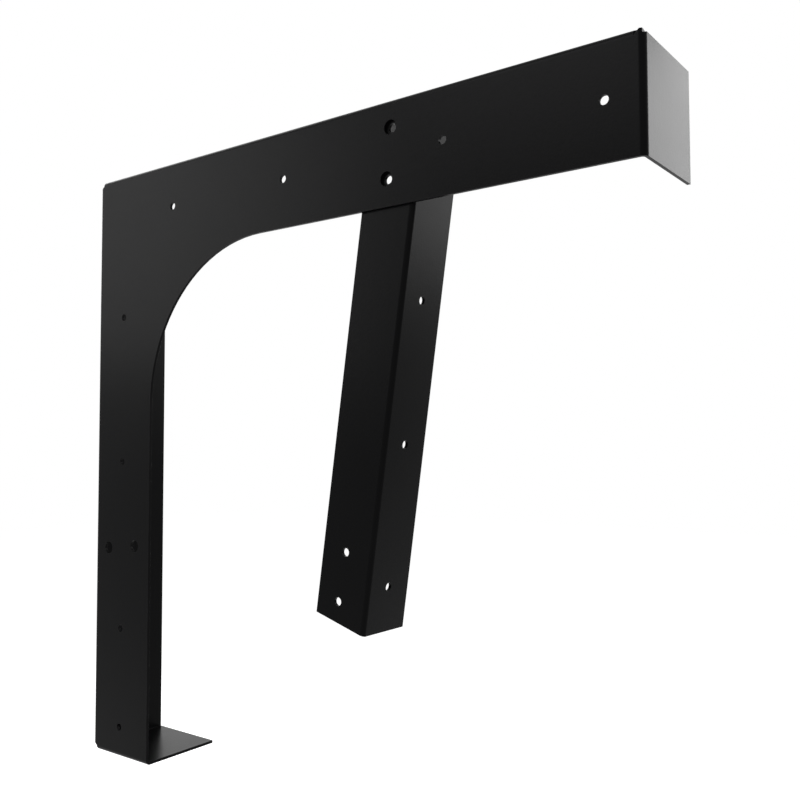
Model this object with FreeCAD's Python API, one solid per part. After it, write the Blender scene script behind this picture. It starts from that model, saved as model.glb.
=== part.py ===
import FreeCAD, Part
import math
import os

# Vanity support bracket, all sizes in millimetres.
# Drawing frame: X runs out from the wall, Y runs from the side plate towards its flanges,
# Z runs up from the underside of the foot. The finished pieces are moved to the mount origin last.

# Sheet metal
sheet_thickness = 2.66
bracket_inner_bend_radius = 2.0
angle_inner_bend_radius = 1.0

# Side plate of the bracket
bracket_height = 560.0
arm_reach = 569.0
arm_width = 83.0
leg_width = 82.0
inner_corner_radius = 143.0

# Flanges, each measured from the outer face of the side plate
wall_flange_depth = 80.0
foot_flange_depth = 80.5
top_flange_depth = 78.0
front_flange_depth = 81.5

# Corners where two flanges meet: the flats close up to a fine gap and the bends are notched back
corner_gap = 0.3
corner_notch_depth = 3.8
front_bend_drop = 0.8
wall_relief_reach = 6.0
wall_relief_run = 3.4

# Ear of sheet that stands between the top bend and the front bend
ear_base_width = 5.8
ear_slope_run = 3.9
ear_distance_from_front = 1.9
ear_distance_below_top = 0.8

# Screw holes in the side plate
screw_hole_diameter = 6.75
arm_hole_distances_from_wall = (112.0, 254.0)
arm_hole_distances_from_front = (154.0, 28.0)
leg_hole_distances_below_top = (140.0, 280.0)
leg_hole_heights_above_foot = (121.0, 28.0)

# Large hole pairs in the side plate, each slightly turned from square
large_hole_diameter = 11.5
hole_pair_spacing = 39.6
hole_pair_turn = 5.5
arm_pair_distance_from_front = 203.7
leg_pair_height_above_foot = 198.5

# Slanted angle bar bolted behind the arm
angle_tilt = 8.5
angle_length = 410.0
angle_side_width = 49.3
angle_panel_depth = 51.0
angle_end_slope = 8.5
angle_pair_from_middle = 164.6
angle_pair_from_fold = 27.6
panel_hole_spacing = 112.7
panel_hole_count = 4

bracket_bend = sheet_thickness + bracket_inner_bend_radius
angle_bend = sheet_thickness + angle_inner_bend_radius
OVERSHOOT = 5.0
AXIS_Y = FreeCAD.Vector(0, 1, 0)


def point(x, y, z):
    return FreeCAD.Vector(x, y, z)


def turned(shape, degrees):
    """Turn a shape about the Y axis through the drawing origin."""
    result = shape.copy()
    result.rotate(point(0, 0, 0), AXIS_Y, degrees)
    return result


def moved(shape, x, y, z):
    result = shape.copy()
    result.translate(point(x, y, z))
    return result


def quarter_arc(centre_x, centre_y, radius):
    """Arc from straight below the centre round to its +X side."""
    diagonal = radius * math.sqrt(0.5)
    start = point(centre_x, centre_y - radius, 0)
    middle = point(centre_x + diagonal, centre_y - diagonal, 0)
    end = point(centre_x + radius, centre_y, 0)
    return Part.Arc(start, middle, end).toShape()


def folded_section(flat, bend, depth, length):
    """Sheet that lies flat along X, bends up to +Y and stands to the given depth.

    The outer face of the standing flange is at X = bend, the bend starts at X = 0 and the
    flat part, if any, reaches back to X = -flat. The section is extruded up Z.
    """
    inner = bend - sheet_thickness
    edges = [quarter_arc(0, bend, bend)]
    corners = [
        point(bend, bend, 0),
        point(bend, depth, 0),
        point(inner, depth, 0),
        point(inner, bend, 0),
    ]
    for start, end in zip(corners, corners[1:]):
        edges.append(Part.makeLine(start, end))
    edges.append(quarter_arc(0, bend, inner))
    back = [point(0, sheet_thickness, 0)]
    if flat > 0:
        back.append(point(-flat, sheet_thickness, 0))
        back.append(point(-flat, 0, 0))
    back.append(point(0, 0, 0))
    for start, end in zip(back, back[1:]):
        edges.append(Part.makeLine(start, end))
    wire = Part.Wire(Part.__sortEdges__(edges))
    return Part.Face(wire).extrude(point(0, 0, length))


def flat_plate():
    """L-shaped flat part of the side plate, between the bend lines."""
    left = bracket_bend
    right = arm_reach - bracket_bend
    bottom = bracket_bend
    top = bracket_height - bracket_bend
    arm_underside = bracket_height - arm_width
    radius = inner_corner_radius
    arc_x = leg_width + radius
    arc_z = arm_underside - radius
    diagonal = radius * math.sqrt(0.5)
    arc = Part.Arc(
        point(arc_x, 0, arm_underside),
        point(arc_x - diagonal, 0, arc_z + diagonal),
        point(leg_width, 0, arc_z),
    ).toShape()
    before = [point(left, 0, bottom), point(left, 0, top), point(right, 0, top)]
    before += [point(right, 0, arm_underside), point(arc_x, 0, arm_underside)]
    after = [point(leg_width, 0, arc_z), point(leg_width, 0, bottom), point(left, 0, bottom)]
    edges = []
    for chain in (before, after):
        for start, end in zip(chain, chain[1:]):
            edges.append(Part.makeLine(start, end))
    edges.append(arc)
    wire = Part.Wire(Part.__sortEdges__(edges))
    return Part.Face(wire).extrude(point(0, sheet_thickness, 0))


def prism_along_y(outline, start, end):
    """Block with the given outline in the X-Z plane, from one depth to another."""
    corners = [point(x, start, z) for x, z in outline]
    wire = Part.makePolygon(corners + corners[:1])
    return Part.Face(wire).extrude(point(0, end - start, 0))


def upside_down(shape):
    """Mirror a shape about the middle of the bracket's height."""
    return shape.mirror(point(0, 0, bracket_height / 2), point(0, 0, 1))


def bend_notch(start_x, end_x, start_z, end_z):
    """Block that cuts a bend back at a corner, from in front of the side plate."""
    depth = OVERSHOOT + corner_notch_depth
    corner = point(start_x, -OVERSHOOT, start_z)
    return Part.makeBox(end_x - start_x, depth, end_z - start_z, corner)


def wall_relief():
    """Slanted cut across the wall flange's bend and the plate's corner at the foot."""
    slope = wall_relief_run / wall_relief_reach
    outline = [
        (wall_relief_reach, -OVERSHOOT),
        (wall_relief_reach, bracket_bend),
        (-OVERSHOOT, bracket_bend + slope * (wall_relief_reach + OVERSHOOT)),
        (-OVERSHOOT, -OVERSHOOT),
    ]
    return prism_along_y(outline, -OVERSHOOT, bracket_bend)


def wall_flange():
    """Flange that lies on the wall, along the whole leg."""
    bottom = sheet_thickness
    top = bracket_height - sheet_thickness
    section = turned(folded_section(0, bracket_bend, wall_flange_depth, top - bottom), 180)
    return moved(section, bracket_bend, 0, top)


def level_flange(depth, bend_end, flat_end):
    """Flange folded along the bottom edge, from the wall out to its two ends along X."""
    flat_start = sheet_thickness + corner_gap
    flange = turned(folded_section(0, bracket_bend, depth, flat_end - flat_start), 90)
    flange = moved(flange, flat_start, 0, bracket_bend)
    above = 2 * bracket_bend
    notches = [bend_notch(flat_start - OVERSHOOT, wall_relief_reach, -OVERSHOOT, above)]
    if bend_end < flat_end:
        notches.append(bend_notch(bend_end, flat_end + OVERSHOOT, -OVERSHOOT, above))
    return flange.cut(notches)


def foot_flange():
    """Flange across the bottom of the leg, open at the leg's inner edge."""
    return level_flange(foot_flange_depth, leg_width, leg_width)


def top_flange():
    """Flange that carries the counter, along the whole arm."""
    ear_left = arm_reach - ear_distance_from_front - ear_base_width
    flat_end = arm_reach - sheet_thickness - corner_gap
    return upside_down(level_flange(top_flange_depth, ear_left, flat_end))


def front_flange():
    """Flange that closes the front end of the arm, its bend notched below the ear."""
    length = arm_width - sheet_thickness
    section = folded_section(0, bracket_bend, front_flange_depth, length)
    flange = moved(section, arm_reach - bracket_bend, 0, bracket_height - arm_width)
    left = arm_reach - 2 * bracket_bend
    right = arm_reach + OVERSHOOT
    return flange.cut(bend_notch(left, right, front_bend_top(), bracket_height))


def front_bend_top():
    return bracket_height - sheet_thickness - front_bend_drop


def corner_ear():
    """Ear that carries the side plate and the start of the front bend on up to a slanted top."""
    fold = arm_reach - bracket_bend
    right = arm_reach - ear_distance_from_front
    left = right - ear_base_width
    base = bracket_height - bracket_bend
    top = bracket_height - ear_distance_below_top
    sheet = folded_section(fold - left, bracket_bend, 2 * bracket_bend, top - base)
    outline = [
        (left, base),
        (left + ear_slope_run, top),
        (right, top),
        (right, front_bend_top()),
        (fold, front_bend_top()),
        (fold, base),
    ]
    trim = prism_along_y(outline, -OVERSHOOT, corner_notch_depth)
    return moved(sheet, fold, 0, base).common(trim)


def drill_y(diameter, x, z, depth):
    """Drill along Y that clears a sheet whose near face is at Y = depth."""
    length = sheet_thickness + 2 * OVERSHOOT
    return Part.makeCylinder(diameter / 2, length, point(x, depth - OVERSHOOT, z), AXIS_Y)


def turned_pair(centre_x, centre_z, degrees_from_up):
    """Two hole centres about a middle point, on a line turned from upright towards +X."""
    turn = math.radians(degrees_from_up)
    reach_x = hole_pair_spacing / 2 * math.sin(turn)
    reach_z = hole_pair_spacing / 2 * math.cos(turn)
    upper = (centre_x + reach_x, centre_z + reach_z)
    lower = (centre_x - reach_x, centre_z - reach_z)
    return [upper, lower]


def arm_pair_centre():
    return arm_reach - arm_pair_distance_from_front, bracket_height - arm_width / 2


def screw_hole_centres():
    """Small holes along the middle of the arm and the middle of the leg."""
    arm_middle = bracket_height - arm_width / 2
    leg_middle = leg_width / 2
    centres = [(x, arm_middle) for x in arm_hole_distances_from_wall]
    centres += [(arm_reach - d, arm_middle) for d in arm_hole_distances_from_front]
    centres += [(leg_middle, bracket_height - d) for d in leg_hole_distances_below_top]
    centres += [(leg_middle, z) for z in leg_hole_heights_above_foot]
    return centres


def large_hole_centres():
    """One turned pair for the slanted angle on the arm and one across the leg."""
    arm_x, arm_z = arm_pair_centre()
    pair_on_arm = turned_pair(arm_x, arm_z, hole_pair_turn)
    pair_on_leg = turned_pair(leg_width / 2, leg_pair_height_above_foot, 90 - hole_pair_turn)
    return pair_on_arm + pair_on_leg


def main_bracket():
    """Side plate with its four flanges and all its holes, folded from one sheet."""
    wall_side = flat_plate().fuse(wall_flange())
    wall_side = wall_side.cut([wall_relief(), upside_down(wall_relief())])
    body = wall_side.fuse([foot_flange(), top_flange(), front_flange(), corner_ear()])
    drills = [drill_y(screw_hole_diameter, x, z, 0) for x, z in screw_hole_centres()]
    drills += [drill_y(large_hole_diameter, x, z, 0) for x, z in large_hole_centres()]
    return body.cut(drills).removeSplitter()


def angle_end_trim():
    """Block whose two ends slope in from the fold, mirror images of each other."""
    half = angle_length / 2
    lean = math.tan(math.radians(angle_end_slope))
    near = OVERSHOOT
    far = -angle_side_width - OVERSHOOT
    y = -OVERSHOOT
    outline = [
        point(near, y, half + near * lean),
        point(near, y, -half - near * lean),
        point(far, y, -half - far * lean),
        point(far, y, half + far * lean),
    ]
    wire = Part.makePolygon(outline + outline[:1])
    return Part.Face(wire).extrude(point(0, angle_panel_depth + 2 * OVERSHOOT, 0))


def angle_pair_holes(end):
    """Hole pair at one end of the angle: end is +1 for the upper and -1 for the lower."""
    turn = angle_tilt - hole_pair_turn
    pair = turned_pair(-angle_pair_from_fold, angle_pair_from_middle, -turn)
    return [drill_y(screw_hole_diameter, x, end * z, 0) for x, z in pair]


def panel_holes():
    """Row of screw holes along the middle of the panel side, centred on the length."""
    drills = []
    length = sheet_thickness + 2 * OVERSHOOT
    first = -panel_hole_spacing * (panel_hole_count - 1) / 2
    for index in range(panel_hole_count):
        z = first + index * panel_hole_spacing
        start = point(-sheet_thickness - OVERSHOOT, angle_panel_depth / 2, z)
        drills.append(Part.makeCylinder(screw_hole_diameter / 2, length, start, point(1, 0, 0)))
    return drills


def slanted_angle():
    """Folded angle bar, the same seen from either end, set behind the arm at its tilt.

    It is made upright with the outer face of its panel side at X = 0 and its middle at Z = 0,
    then turned and moved until its upper hole pair lies on the large pair in the arm.
    """
    flat = angle_side_width - angle_bend
    bar = folded_section(flat, angle_bend, angle_panel_depth, angle_length + 2 * OVERSHOOT)
    bar = moved(bar, -angle_bend, 0, -angle_length / 2 - OVERSHOOT)
    bar = bar.common(angle_end_trim())
    drills = angle_pair_holes(1) + angle_pair_holes(-1) + panel_holes()
    bar = turned(bar.cut(drills).removeSplitter(), angle_tilt)
    tilt = math.radians(angle_tilt)
    pair_x = -angle_pair_from_fold * math.cos(tilt) + angle_pair_from_middle * math.sin(tilt)
    pair_z = angle_pair_from_fold * math.sin(tilt) + angle_pair_from_middle * math.cos(tilt)
    arm_x, arm_z = arm_pair_centre()
    return moved(bar, arm_x - pair_x, sheet_thickness, arm_z - pair_z)


def to_mount_origin(shape):
    """Move the origin to the middle of the wall flange's back face."""
    flange_middle = (bracket_bend + wall_flange_depth) / 2
    return moved(shape, 0, -flange_middle, -bracket_height / 2)


os.makedirs("parts", exist_ok=True)
pieces = {
    "main_bracket": main_bracket(),
    "slanted_angle": slanted_angle(),
}
for name, piece in pieces.items():
    solid = to_mount_origin(piece).Solids[0]
    solid.exportStep("parts/" + name + ".step")
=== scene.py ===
import math

import bmesh
import bpy
from bpy.props import FloatProperty, FloatVectorProperty, IntProperty, PointerProperty
from mathutils import Matrix, Vector


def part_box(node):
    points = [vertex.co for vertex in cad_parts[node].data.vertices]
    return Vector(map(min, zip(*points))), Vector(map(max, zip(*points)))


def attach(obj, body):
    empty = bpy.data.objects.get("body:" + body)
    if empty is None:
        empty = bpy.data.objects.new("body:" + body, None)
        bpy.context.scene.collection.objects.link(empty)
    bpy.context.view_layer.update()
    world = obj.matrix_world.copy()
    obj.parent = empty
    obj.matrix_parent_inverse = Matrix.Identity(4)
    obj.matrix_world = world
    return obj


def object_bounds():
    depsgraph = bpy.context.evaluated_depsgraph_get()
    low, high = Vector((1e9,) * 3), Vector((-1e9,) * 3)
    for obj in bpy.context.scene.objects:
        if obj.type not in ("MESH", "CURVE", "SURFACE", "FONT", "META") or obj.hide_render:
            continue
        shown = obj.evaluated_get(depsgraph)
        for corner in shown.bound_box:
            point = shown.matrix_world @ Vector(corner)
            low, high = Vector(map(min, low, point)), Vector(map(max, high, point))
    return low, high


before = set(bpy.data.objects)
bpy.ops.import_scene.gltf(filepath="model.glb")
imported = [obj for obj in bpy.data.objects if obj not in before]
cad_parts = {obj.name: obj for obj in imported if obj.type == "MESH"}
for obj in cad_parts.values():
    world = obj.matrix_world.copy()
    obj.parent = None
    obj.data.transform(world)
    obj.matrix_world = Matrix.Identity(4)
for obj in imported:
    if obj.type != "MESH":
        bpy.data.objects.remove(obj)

bl_info = {
    "name": "Vanity support bracket",
    "version": (1, 0, 0),
    "blender": (4, 5, 0),
    "location": "3D View > Sidebar > Bracket",
    "description": "Finishes the folded bracket and its slanted angle, and sets up a pale studio",
    "category": "Object",
}

CAD_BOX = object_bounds()

# Two faces are an edge where they turn by more than the first angle,
# and one flat face where they turn by less than the second.
EDGE_TURN = math.radians(35)
FLAT_WITHIN = math.radians(0.5)

# Corners of triangles closer than this, in metres, are one point
SAME_POINT = 1e-6

# How much the large faces count in a rounded edge's shading, where 50 is plainly by area
EVEN_WEIGHT = 50

QUARTER_TURN = math.radians(90)

# The camera's sensor, the picture's side, and the depth in metres that the camera sees
SENSOR_WIDTH_MM = 36.0
IMAGE_SIDE_PX = 800
NEAREST_SEEN = 0.01
FARTHEST_SEEN = 100.0

# Noise scales, in clouds a metre, and the finer layers on each
DRIFT_SCALE = 14.0
DRIFT_DETAIL = 3.0
GRAIN_DETAIL = 2.0
PATCH_SCALE = 40.0
PATCH_DETAIL = 5.0

# Near an edge the rounded normal leans away from the face's own. Wear starts at the first
# cosine between the two and is full at the second.
WEAR_STARTS = 0.97
WEAR_IS_FULL = 0.75
WEAR_SAMPLES = 6

# Between these two noise values a patch goes from faintly to fully worn
PATCH_START = 0.35
PATCH_END = 0.65
FAINTEST_PATCH = 0.3

FLOOR_ROUGHNESS = 0.9

# How strongly white surroundings show to the eye, in gloss and through glass
WHITE = 1.0

# Soft lamps. Azimuth is 0 in front of the side plate, 90 beyond the arm's front end,
# 180 behind and 270 beyond the wall flange. The height angle is up from level.
LAMPS = (
    # name, azimuth, height angle, side in metres, watts
    ("lamp_behind_right", 147, 20, 0.8, 14.5),
    ("lamp_left", 310, 20, 0.8, 8.5),
    ("lamp_high_front", 342, 40, 0.8, 10.0),
    ("lamp_behind_left", 256, 35, 1.4, 15.0),
    ("lamp_behind", 226, 10, 0.8, 3.0),
)


class CoatSettings(bpy.types.PropertyGroup):
    """Black powder coat, shared by both folded pieces."""

    colour: FloatVectorProperty(
        name="Coat colour",
        description="Colour of the powder coat",
        subtype="COLOR",
        size=3,
        min=0.0,
        max=1.0,
        default=(0.003, 0.003, 0.0032),
    )
    worn_colour: FloatVectorProperty(
        name="Worn colour",
        description="Colour of the coat where it is rubbed thin",
        subtype="COLOR",
        size=3,
        min=0.0,
        max=1.0,
        default=(0.05, 0.05, 0.052),
    )
    tone_variation: FloatProperty(
        name="Tone variation",
        description="How much the coat's tone drifts across a face",
        subtype="FACTOR",
        min=0.0,
        max=1.0,
        default=0.15,
    )
    roughness: FloatProperty(
        name="Roughness",
        description="Average roughness of the coat",
        subtype="FACTOR",
        min=0.0,
        max=1.0,
        default=0.3,
    )
    roughness_variation: FloatProperty(
        name="Roughness variation",
        description="How far the roughness drifts either side of its average",
        subtype="FACTOR",
        min=0.0,
        max=0.5,
        default=0.03,
    )
    shine: FloatProperty(
        name="Shine",
        description="Specular level of the coat, where 0.5 is a plain clear plastic",
        subtype="FACTOR",
        min=0.0,
        max=1.0,
        default=0.035,
    )
    grain_size: FloatProperty(
        name="Grain size",
        description="Distance between the small bumps of the sprayed coat",
        subtype="DISTANCE",
        unit="LENGTH",
        min=0.0002,
        max=0.01,
        precision=5,
        default=0.0013,
    )
    grain_depth: FloatProperty(
        name="Grain depth",
        description="Height of the small bumps of the sprayed coat",
        subtype="DISTANCE",
        unit="LENGTH",
        min=0.0,
        max=0.0005,
        precision=6,
        default=0.00005,
    )
    edge_wear: FloatProperty(
        name="Edge wear",
        description="How far the coat is rubbed along its edges",
        subtype="FACTOR",
        min=0.0,
        max=1.0,
        default=0.35,
    )
    wear_reach: FloatProperty(
        name="Wear reach",
        description="How far the rubbing reaches in from an edge",
        subtype="DISTANCE",
        unit="LENGTH",
        min=0.0,
        max=0.005,
        precision=5,
        default=0.001,
    )


class EdgeSettings(bpy.types.PropertyGroup):
    """Softness of the cut edges under the coat."""

    width: FloatProperty(
        name="Edge rounding",
        description="Width of the rounding that the coat gives to a cut edge",
        subtype="DISTANCE",
        unit="LENGTH",
        min=0.0,
        max=0.001,
        precision=5,
        default=0.00012,
    )
    segments: IntProperty(
        name="Rounding segments",
        description="Faces across the rounding of an edge",
        min=1,
        max=6,
        default=3,
    )


class SeamSettings(bpy.types.PropertyGroup):
    """Thin beads of coat in the corners where two flanges meet."""

    radius: FloatProperty(
        name="Bead radius",
        description="Radius of the bead of coat in a corner seam",
        subtype="DISTANCE",
        unit="LENGTH",
        min=0.0,
        precision=5,
        default=0.00034,
    )
    sides: IntProperty(
        name="Bead sides",
        description="Faces round a bead, an even number",
        min=6,
        max=32,
        default=12,
    )
    sheet: FloatProperty(
        name="Sheet thickness",
        description="Thickness of the bracket's sheet",
        subtype="DISTANCE",
        unit="LENGTH",
        min=0.0,
        precision=5,
        default=0.00266,
    )
    gap: FloatProperty(
        name="Seam gap",
        description="Gap between two flanges at a corner",
        subtype="DISTANCE",
        unit="LENGTH",
        min=0.0,
        precision=5,
        default=0.0003,
    )
    start: FloatProperty(
        name="Bead start",
        description="Distance from the side plate's outer face to the start of a bead",
        subtype="DISTANCE",
        unit="LENGTH",
        min=0.0,
        default=0.0065,
    )
    foot_end: FloatProperty(
        name="Foot bead end",
        description="Distance from the side plate's outer face to the end of the foot's bead",
        subtype="DISTANCE",
        unit="LENGTH",
        min=0.0,
        default=0.0794,
    )
    top_end: FloatProperty(
        name="Top bead end",
        description="Distance from the side plate's outer face to the end of a top bead",
        subtype="DISTANCE",
        unit="LENGTH",
        min=0.0,
        default=0.0774,
    )


class CameraSettings(bpy.types.PropertyGroup):
    """Where the camera stands and how it looks."""

    position: FloatVectorProperty(
        name="Position",
        description="Place of the camera",
        subtype="TRANSLATION",
        unit="LENGTH",
        size=3,
        default=(0.77664, -0.57892, 0.01629),
    )
    turn: FloatProperty(
        name="Turn",
        description="Turn of the view from the +Y axis towards -X",
        subtype="ANGLE",
        unit="ROTATION",
        default=math.radians(36.75),
    )
    pitch: FloatProperty(
        name="Pitch",
        description="Upward tilt of the view",
        subtype="ANGLE",
        unit="ROTATION",
        default=math.radians(2.82),
    )
    roll: FloatProperty(
        name="Roll",
        description="Lean of the camera about its line of sight",
        subtype="ANGLE",
        unit="ROTATION",
        default=math.radians(-0.15),
    )
    focal_pixels: FloatProperty(
        name="Focal length in pixels",
        description="Focal length measured in pixels of a square picture 800 pixels wide",
        min=100.0,
        default=898.78,
    )


class StudioSettings(bpy.types.PropertyGroup):
    """Pale floor, white surroundings and soft lamps."""

    floor_drop: FloatProperty(
        name="Floor drop",
        description="Distance from the underside of the foot down to the floor",
        subtype="DISTANCE",
        unit="LENGTH",
        min=0.0,
        default=0.35,
    )
    floor_size: FloatProperty(
        name="Floor size",
        description="Side of the square floor",
        subtype="DISTANCE",
        unit="LENGTH",
        min=1.0,
        default=12.0,
    )
    floor_tone: FloatProperty(
        name="Floor tone",
        description="How pale the floor is",
        subtype="FACTOR",
        min=0.0,
        max=1.0,
        default=0.8,
    )
    near_glow: FloatProperty(
        name="Glow under the object",
        description="White added to the floor close to the object, where its shadow lies",
        min=0.0,
        max=1.0,
        default=0.05,
    )
    far_glow: FloatProperty(
        name="Glow away from the object",
        description="White added to the floor where it runs into the surroundings",
        min=0.0,
        max=1.0,
        default=0.6,
    )
    glow_start: FloatProperty(
        name="Glow start",
        description="Distance from the object's middle at which the floor starts to whiten",
        subtype="DISTANCE",
        unit="LENGTH",
        min=0.0,
        default=0.35,
    )
    glow_end: FloatProperty(
        name="Glow end",
        description="Distance from the object's middle at which the floor is fully white",
        subtype="DISTANCE",
        unit="LENGTH",
        min=0.0,
        default=0.9,
    )
    fill: FloatProperty(
        name="Fill",
        description="Strength of the even light from the surroundings",
        min=0.0,
        max=2.0,
        default=0.5,
    )
    lamp_distance: FloatProperty(
        name="Lamp distance",
        description="Distance of the soft lamps from the object's middle",
        subtype="DISTANCE",
        unit="LENGTH",
        min=0.5,
        default=1.8,
    )


class NodeSheet:
    """A node tree being wired up, one node a call."""

    def __init__(self, tree):
        self.tree = tree

    def node(self, kind, **values):
        """Add a node. Values named as the node's properties set those."""
        made = self.tree.nodes.new(kind)
        for name, value in values.items():
            setattr(made, name, value)
        return made

    def join(self, output, target):
        """Wire a node's output to another node's input."""
        self.tree.links.new(output, target)

    def put(self, target, value):
        """Set a socket to a number, or join another node's output to it."""
        if isinstance(value, (int, float)):
            target.default_value = value
        else:
            self.join(value, target)

    def maths(self, operation, first, second):
        """A Math node on two values, each a number or another node's output."""
        made = self.node("ShaderNodeMath", operation=operation)
        self.put(made.inputs[0], first)
        self.put(made.inputs[1], second)
        return made.outputs[0]

    def between(self, value, start, end, from_value=0.0, to_value=1.0):
        """A smooth step of a value, held at both ends."""
        made = self.node("ShaderNodeMapRange", interpolation_type="SMOOTHSTEP", clamp=True)
        for label, given in (
            ("Value", value),
            ("From Min", start),
            ("From Max", end),
            ("To Min", from_value),
            ("To Max", to_value),
        ):
            self.put(made.inputs[label], given)
        return made.outputs["Result"]

    def noise(self, place, scale, detail):
        """A cloud of values between 0 and 1 at a scale, with finer layers."""
        made = self.node("ShaderNodeTexNoise")
        self.join(place, made.inputs["Vector"])
        self.put(made.inputs["Scale"], scale)
        self.put(made.inputs["Detail"], detail)
        return made.outputs["Fac"]

    def object_place(self):
        """Coordinates of a point on the piece, in metres."""
        return self.node("ShaderNodeTexCoord").outputs["Object"]


def new_group(name, inputs, outputs):
    """A shader group with named sockets, and the sheet, inputs and outputs to wire it."""
    tree = bpy.data.node_groups.new(name, "ShaderNodeTree")
    for way, sockets in (("INPUT", inputs), ("OUTPUT", outputs)):
        for label, kind in sockets.items():
            tree.interface.new_socket(name=label, in_out=way, socket_type=f"NodeSocket{kind}")
    sheet = NodeSheet(tree)
    given = sheet.node("NodeGroupInput").outputs
    result = sheet.node("NodeGroupOutput").inputs
    return tree, sheet, given, result


def sprayed_coat_group():
    """Tone drift, roughness drift and fine bumps of a sprayed and baked coat."""
    found = bpy.data.node_groups.get("sprayed_coat")
    if found:
        return found
    tree, sheet, given, result = new_group(
        "sprayed_coat",
        {
            "Coat Colour": "Color",
            "Tone Variation": "Float",
            "Roughness": "Float",
            "Roughness Variation": "Float",
            "Grain Size": "Float",
            "Grain Depth": "Float",
        },
        {"Colour": "Color", "Roughness": "Float", "Normal": "Vector"},
    )
    place = sheet.object_place()
    clouds = sheet.noise(place, DRIFT_SCALE, DRIFT_DETAIL)
    # The clouds lie between 0 and 1, and the swing between -1 and 1
    swing = sheet.maths("SUBTRACT", sheet.maths("MULTIPLY", clouds, 2.0), 1.0)

    drift = sheet.maths("MULTIPLY", swing, given["Tone Variation"])
    shade = sheet.node("ShaderNodeVectorMath", operation="SCALE")
    sheet.join(given["Coat Colour"], shade.inputs[0])
    sheet.join(sheet.maths("ADD", drift, 1.0), shade.inputs["Scale"])
    sheet.join(shade.outputs["Vector"], result["Colour"])

    drift = sheet.maths("MULTIPLY", swing, given["Roughness Variation"])
    sheet.join(sheet.maths("ADD", drift, given["Roughness"]), result["Roughness"])

    grain_scale = sheet.maths("DIVIDE", 1.0, given["Grain Size"])
    bumps = sheet.node("ShaderNodeBump")
    sheet.join(sheet.noise(place, grain_scale, GRAIN_DETAIL), bumps.inputs["Height"])
    sheet.join(given["Grain Depth"], bumps.inputs["Distance"])
    sheet.join(bumps.outputs["Normal"], result["Normal"])
    return tree


def edge_wear_group():
    """A mask that is highest on a sharp edge, broken up by patches, and 0 away from it."""
    found = bpy.data.node_groups.get("edge_wear")
    if found:
        return found
    tree, sheet, given, result = new_group(
        "edge_wear", {"Wear": "Float", "Reach": "Float"}, {"Mask": "Float"}
    )
    rounded = sheet.node("ShaderNodeBevel", samples=WEAR_SAMPLES)
    sheet.join(given["Reach"], rounded.inputs["Radius"])
    turned = sheet.node("ShaderNodeVectorMath", operation="DOT_PRODUCT")
    sheet.join(rounded.outputs["Normal"], turned.inputs[0])
    sheet.join(sheet.node("ShaderNodeNewGeometry").outputs["Normal"], turned.inputs[1])
    near_edge = sheet.between(turned.outputs["Value"], WEAR_STARTS, WEAR_IS_FULL)

    clouds = sheet.noise(sheet.object_place(), PATCH_SCALE, PATCH_DETAIL)
    patches = sheet.between(clouds, PATCH_START, PATCH_END, FAINTEST_PATCH)
    mask = sheet.maths("MULTIPLY", near_edge, patches)
    sheet.join(sheet.maths("MULTIPLY", mask, given["Wear"]), result["Mask"])
    return tree


def placed_group(sheet, group, values):
    """A group placed in a material, with a value for each of its named inputs."""
    made = sheet.node("ShaderNodeGroup", node_tree=group)
    for label, value in values.items():
        made.inputs[label].default_value = value
    return made


def powder_coat_material(name, coat):
    """The black coat as a material of its own, with this piece's values."""
    material = bpy.data.materials.new(name)
    material.use_nodes = True
    sheet = NodeSheet(material.node_tree)
    shader = material.node_tree.nodes["Principled BSDF"]

    surface = placed_group(
        sheet,
        sprayed_coat_group(),
        {
            "Coat Colour": (*coat.colour, 1.0),
            "Tone Variation": coat.tone_variation,
            "Roughness": coat.roughness,
            "Roughness Variation": coat.roughness_variation,
            "Grain Size": coat.grain_size,
            "Grain Depth": coat.grain_depth,
        },
    )
    rubbing = placed_group(
        sheet, edge_wear_group(), {"Wear": coat.edge_wear, "Reach": coat.wear_reach}
    )
    rubbed = sheet.node("ShaderNodeMix", data_type="RGBA")
    sheet.join(rubbing.outputs["Mask"], rubbed.inputs["Factor"])
    sheet.join(surface.outputs["Colour"], rubbed.inputs["A"])
    rubbed.inputs["B"].default_value = (*coat.worn_colour, 1.0)

    sheet.join(rubbed.outputs["Result"], shader.inputs["Base Color"])
    sheet.join(surface.outputs["Roughness"], shader.inputs["Roughness"])
    sheet.join(surface.outputs["Normal"], shader.inputs["Normal"])
    shader.inputs["Specular IOR Level"].default_value = coat.shine
    return material


def soften_edges(piece, edges):
    """Round the cut edges of a folded sheet and keep its flat faces flat in the light."""
    weld = piece.modifiers.new("join_triangles", "WELD")
    weld.merge_threshold = SAME_POINT
    flatten = piece.modifiers.new("whole_faces", "DECIMATE")
    flatten.decimate_type = "DISSOLVE"
    flatten.angle_limit = FLAT_WITHIN
    bevel = piece.modifiers.new("rounded_edges", "BEVEL")
    bevel.width = edges.width
    bevel.segments = edges.segments
    bevel.profile = 0.5
    bevel.limit_method = "ANGLE"
    bevel.angle_limit = EDGE_TURN
    bevel.use_clamp_overlap = False
    even = piece.modifiers.new("even_shading", "WEIGHTED_NORMAL")
    even.mode = "FACE_AREA"
    even.weight = EVEN_WEIGHT


def coat_piece(node, material_name):
    """Give a node of the frame its rounded edges and its coat."""
    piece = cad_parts[node]
    scene = bpy.context.scene
    soften_edges(piece, scene.bracket_edges)
    material = powder_coat_material(material_name, scene.bracket_coat)
    piece.data.materials.clear()
    piece.data.materials.append(material)


class BRACKET_OT_main_bracket(bpy.types.Operator):
    """Round the edges of the folded bracket and coat it"""

    bl_idname = "bracket.main_bracket"
    bl_label = "Folded bracket"

    def execute(self, context):
        coat_piece("main_bracket", "bracket_powder_coat")
        return {"FINISHED"}


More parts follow.
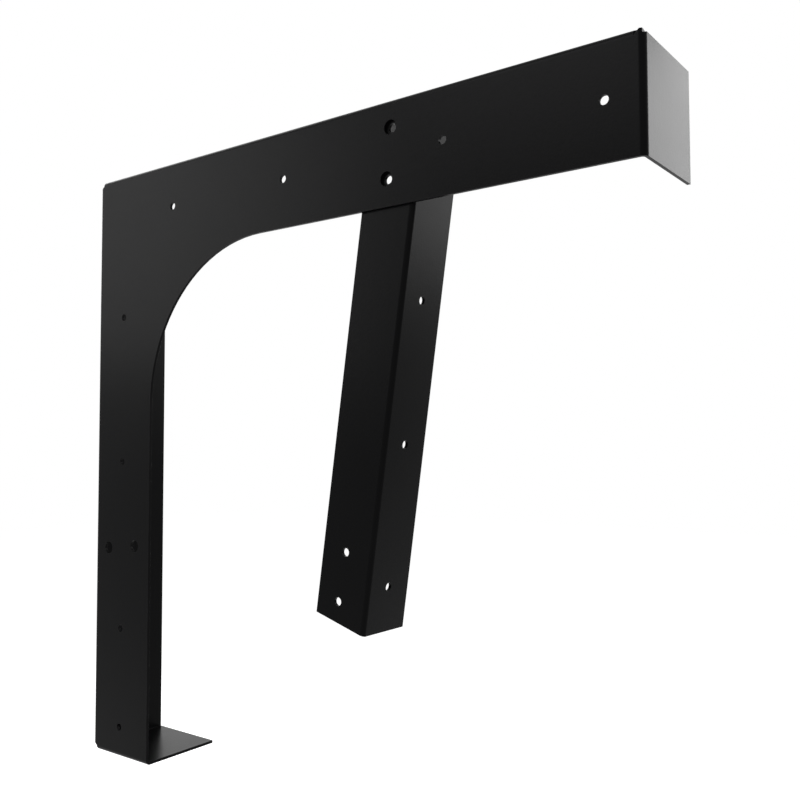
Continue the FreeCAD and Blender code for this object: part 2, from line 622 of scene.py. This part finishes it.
class BRACKET_OT_slanted_angle(bpy.types.Operator):
    """Round the edges of the slanted angle and coat it"""

    bl_idname = "bracket.slanted_angle"
    bl_label = "Slanted angle"

    def execute(self, context):
        coat_piece("slanted_angle", "angle_powder_coat")
        return {"FINISHED"}


def finished_mesh(name, shape):
    """A mesh made from a bmesh, which is freed."""
    mesh = bpy.data.meshes.new(name)
    shape.to_mesh(mesh)
    shape.free()
    return mesh


def put_in_scene(name, data):
    """A new object in the scene that shows a mesh, a lamp or a camera."""
    made = bpy.data.objects.new(name, data)
    bpy.context.scene.collection.objects.link(made)
    return made


def seam_bead(shape, beads, x, z, start_y, end_y):
    """A thin round bead with rounded ends along Y, added to a bmesh.

    It is a ball whose two halves are moved apart. An odd number of rows of faces
    keeps its points off the middle, so the row in the middle becomes the bead's length.
    """
    ball = bmesh.ops.create_uvsphere(
        shape,
        u_segments=beads.sides,
        v_segments=beads.sides + 1,
        radius=beads.radius,
        matrix=Matrix.Rotation(QUARTER_TURN, 4, "X"),
    )["verts"]
    ends = {start_y: [], end_y: []}
    for vert in ball:
        ends[start_y if vert.co.y < 0 else end_y].append(vert)
    for y, verts in ends.items():
        bmesh.ops.translate(shape, verts=verts, vec=(x, y, z))


class BRACKET_OT_seam_coat(bpy.types.Operator):
    """Lay the coat that bridges the fine gaps where two flanges meet at a corner"""

    bl_idname = "bracket.seam_coat"
    bl_label = "Coat over the corner seams"

    def execute(self, context):
        beads = context.scene.bracket_seams
        low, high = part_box("main_bracket")
        inset = beads.sheet + beads.gap / 2
        shape = bmesh.new()
        # wall flange to foot, wall flange to top flange, front flange to top flange
        for x, z, end in (
            (low.x + inset, low.z + inset, beads.foot_end),
            (low.x + inset, high.z - inset, beads.top_end),
            (high.x - inset, high.z - inset, beads.top_end),
        ):
            seam_bead(shape, beads, x, z, low.y + beads.start, low.y + end)
        mesh = finished_mesh("seam_coat", shape)
        for face in mesh.polygons:
            face.use_smooth = True
        mesh.materials.append(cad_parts["main_bracket"].data.materials[0])
        piece = put_in_scene("seam_coat", mesh)
        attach(piece, "root")
        return {"FINISHED"}


def middle_of_object():
    """The middle of the whole object's box."""
    return (Vector(CAD_BOX[0]) + Vector(CAD_BOX[1])) / 2


def floor_middle(studio):
    """The point of the floor that lies under the middle of the object."""
    middle = middle_of_object()
    middle.z = CAD_BOX[0].z - studio.floor_drop
    return middle


def soft_lamp(name, azimuth, height_angle, side, watts, distance):
    """A square soft box that faces the object from a direction given in degrees."""
    data = bpy.data.lights.new(name, "AREA")
    data.shape = "SQUARE"
    data.size = side
    data.energy = watts
    lamp = put_in_scene(name, data)
    lamp.visible_camera = False
    around = math.radians(azimuth)
    up = math.radians(height_angle)
    level = Vector((math.sin(around), -math.cos(around), 0.0))
    away = level * math.cos(up) + Vector((0.0, 0.0, math.sin(up)))
    facing = (-away).to_track_quat("-Z", "Y").to_matrix().to_4x4()
    place = middle_of_object() + away * distance
    lamp.matrix_world = Matrix.Translation(place) @ facing


def seen_as_background(sheet):
    """1 for rays that show the surroundings to the eye, in gloss or through glass."""
    path = sheet.node("ShaderNodeLightPath").outputs
    mirrored = sheet.maths("MAXIMUM", path["Is Glossy Ray"], path["Is Transmission Ray"])
    return sheet.maths("MAXIMUM", path["Is Camera Ray"], mirrored)


def pale_floor_material(studio):
    """A pale floor that whitens with its distance from the object."""
    material = bpy.data.materials.new("pale_floor")
    material.use_nodes = True
    sheet = NodeSheet(material.node_tree)
    shader = material.node_tree.nodes["Principled BSDF"]
    shader.inputs["Base Color"].default_value = (*(studio.floor_tone,) * 3, 1.0)
    shader.inputs["Roughness"].default_value = FLOOR_ROUGHNESS
    shader.inputs["Specular IOR Level"].default_value = 0.0
    shader.inputs["Emission Color"].default_value = (1.0, 1.0, 1.0, 1.0)

    away = sheet.node("ShaderNodeVectorMath", operation="DISTANCE")
    sheet.join(sheet.object_place(), away.inputs[0])
    away.inputs[1].default_value = floor_middle(studio)
    glow = sheet.between(
        away.outputs["Value"],
        studio.glow_start,
        studio.glow_end,
        studio.near_glow,
        studio.far_glow,
    )
    glow = sheet.maths("MULTIPLY", glow, seen_as_background(sheet))
    sheet.join(glow, shader.inputs["Emission Strength"])
    return material


def make_floor(studio):
    """A pale floor below the foot that still takes a soft shadow."""
    shape = bmesh.new()
    bmesh.ops.create_grid(
        shape,
        x_segments=1,
        y_segments=1,
        size=studio.floor_size / 2,
        matrix=Matrix.Translation(floor_middle(studio)),
    )
    mesh = finished_mesh("floor", shape)
    mesh.materials.append(pale_floor_material(studio))
    put_in_scene("floor", mesh)


def make_world(studio):
    """White surroundings to the eye and in gloss, and an even fill to everything else."""
    world = bpy.data.worlds.new("studio_surroundings")
    world.use_nodes = True
    bpy.context.scene.world = world
    sheet = NodeSheet(world.node_tree)
    background = world.node_tree.nodes["Background"]
    background.inputs["Color"].default_value = (1.0, 1.0, 1.0, 1.0)
    strength = sheet.between(seen_as_background(sheet), 0.0, 1.0, studio.fill, WHITE)
    sheet.join(strength, background.inputs["Strength"])


def make_camera(settings):
    """The camera at its measured place, turn, pitch and roll."""
    data = bpy.data.cameras.new("camera")
    data.sensor_width = SENSOR_WIDTH_MM
    data.lens = settings.focal_pixels * SENSOR_WIDTH_MM / IMAGE_SIDE_PX
    data.clip_start = NEAREST_SEEN
    data.clip_end = FARTHEST_SEEN
    camera = put_in_scene("camera", data)
    camera.matrix_world = (
        Matrix.Translation(settings.position)
        @ Matrix.Rotation(settings.turn, 4, "Z")
        @ Matrix.Rotation(QUARTER_TURN + settings.pitch, 4, "X")
        @ Matrix.Rotation(settings.roll, 4, "Z")
    )
    bpy.context.scene.camera = camera


class BRACKET_OT_stage(bpy.types.Operator):
    """Build the pale floor, the white surroundings, the soft lamps and the camera"""

    bl_idname = "bracket.stage"
    bl_label = "Studio stage"

    def execute(self, context):
        scene = context.scene
        studio = scene.bracket_studio
        make_floor(studio)
        make_world(studio)
        for lamp in LAMPS:
            soft_lamp(*lamp, studio.lamp_distance)
        make_camera(scene.bracket_camera)
        scene.view_settings.view_transform = "Standard"
        return {"FINISHED"}


class BRACKET_PT_sidebar(bpy.types.Panel):
    """Panel in the 3D view's sidebar"""

    bl_label = "Vanity support bracket"
    bl_idname = "BRACKET_PT_sidebar"
    bl_space_type = "VIEW_3D"
    bl_region_type = "UI"
    bl_category = "Bracket"

    def draw(self, context):
        for group in SETTINGS:
            box = self.layout.box()
            settings = getattr(context.scene, group)
            for name in settings.bl_rna.properties.keys():
                if name not in ("rna_type", "name"):
                    box.prop(settings, name)
        for operator in OPERATORS:
            self.layout.operator(operator.bl_idname)


SETTINGS = {
    "bracket_coat": CoatSettings,
    "bracket_edges": EdgeSettings,
    "bracket_seams": SeamSettings,
    "bracket_camera": CameraSettings,
    "bracket_studio": StudioSettings,
}
OPERATORS = (
    BRACKET_OT_main_bracket,
    BRACKET_OT_slanted_angle,
    BRACKET_OT_seam_coat,
    BRACKET_OT_stage,
)
CLASSES = (*SETTINGS.values(), *OPERATORS, BRACKET_PT_sidebar)


def register():
    for kind in CLASSES:
        bpy.utils.register_class(kind)
    for name, kind in SETTINGS.items():
        setattr(bpy.types.Scene, name, PointerProperty(type=kind))


def unregister():
    for name in SETTINGS:
        delattr(bpy.types.Scene, name)
    for kind in reversed(CLASSES):
        bpy.utils.unregister_class(kind)


def main():
    register()
    bpy.ops.bracket.main_bracket()
    bpy.ops.bracket.slanted_angle()
    bpy.ops.bracket.seam_coat()
    bpy.ops.bracket.stage()


if __name__ == "__main__":
    main()
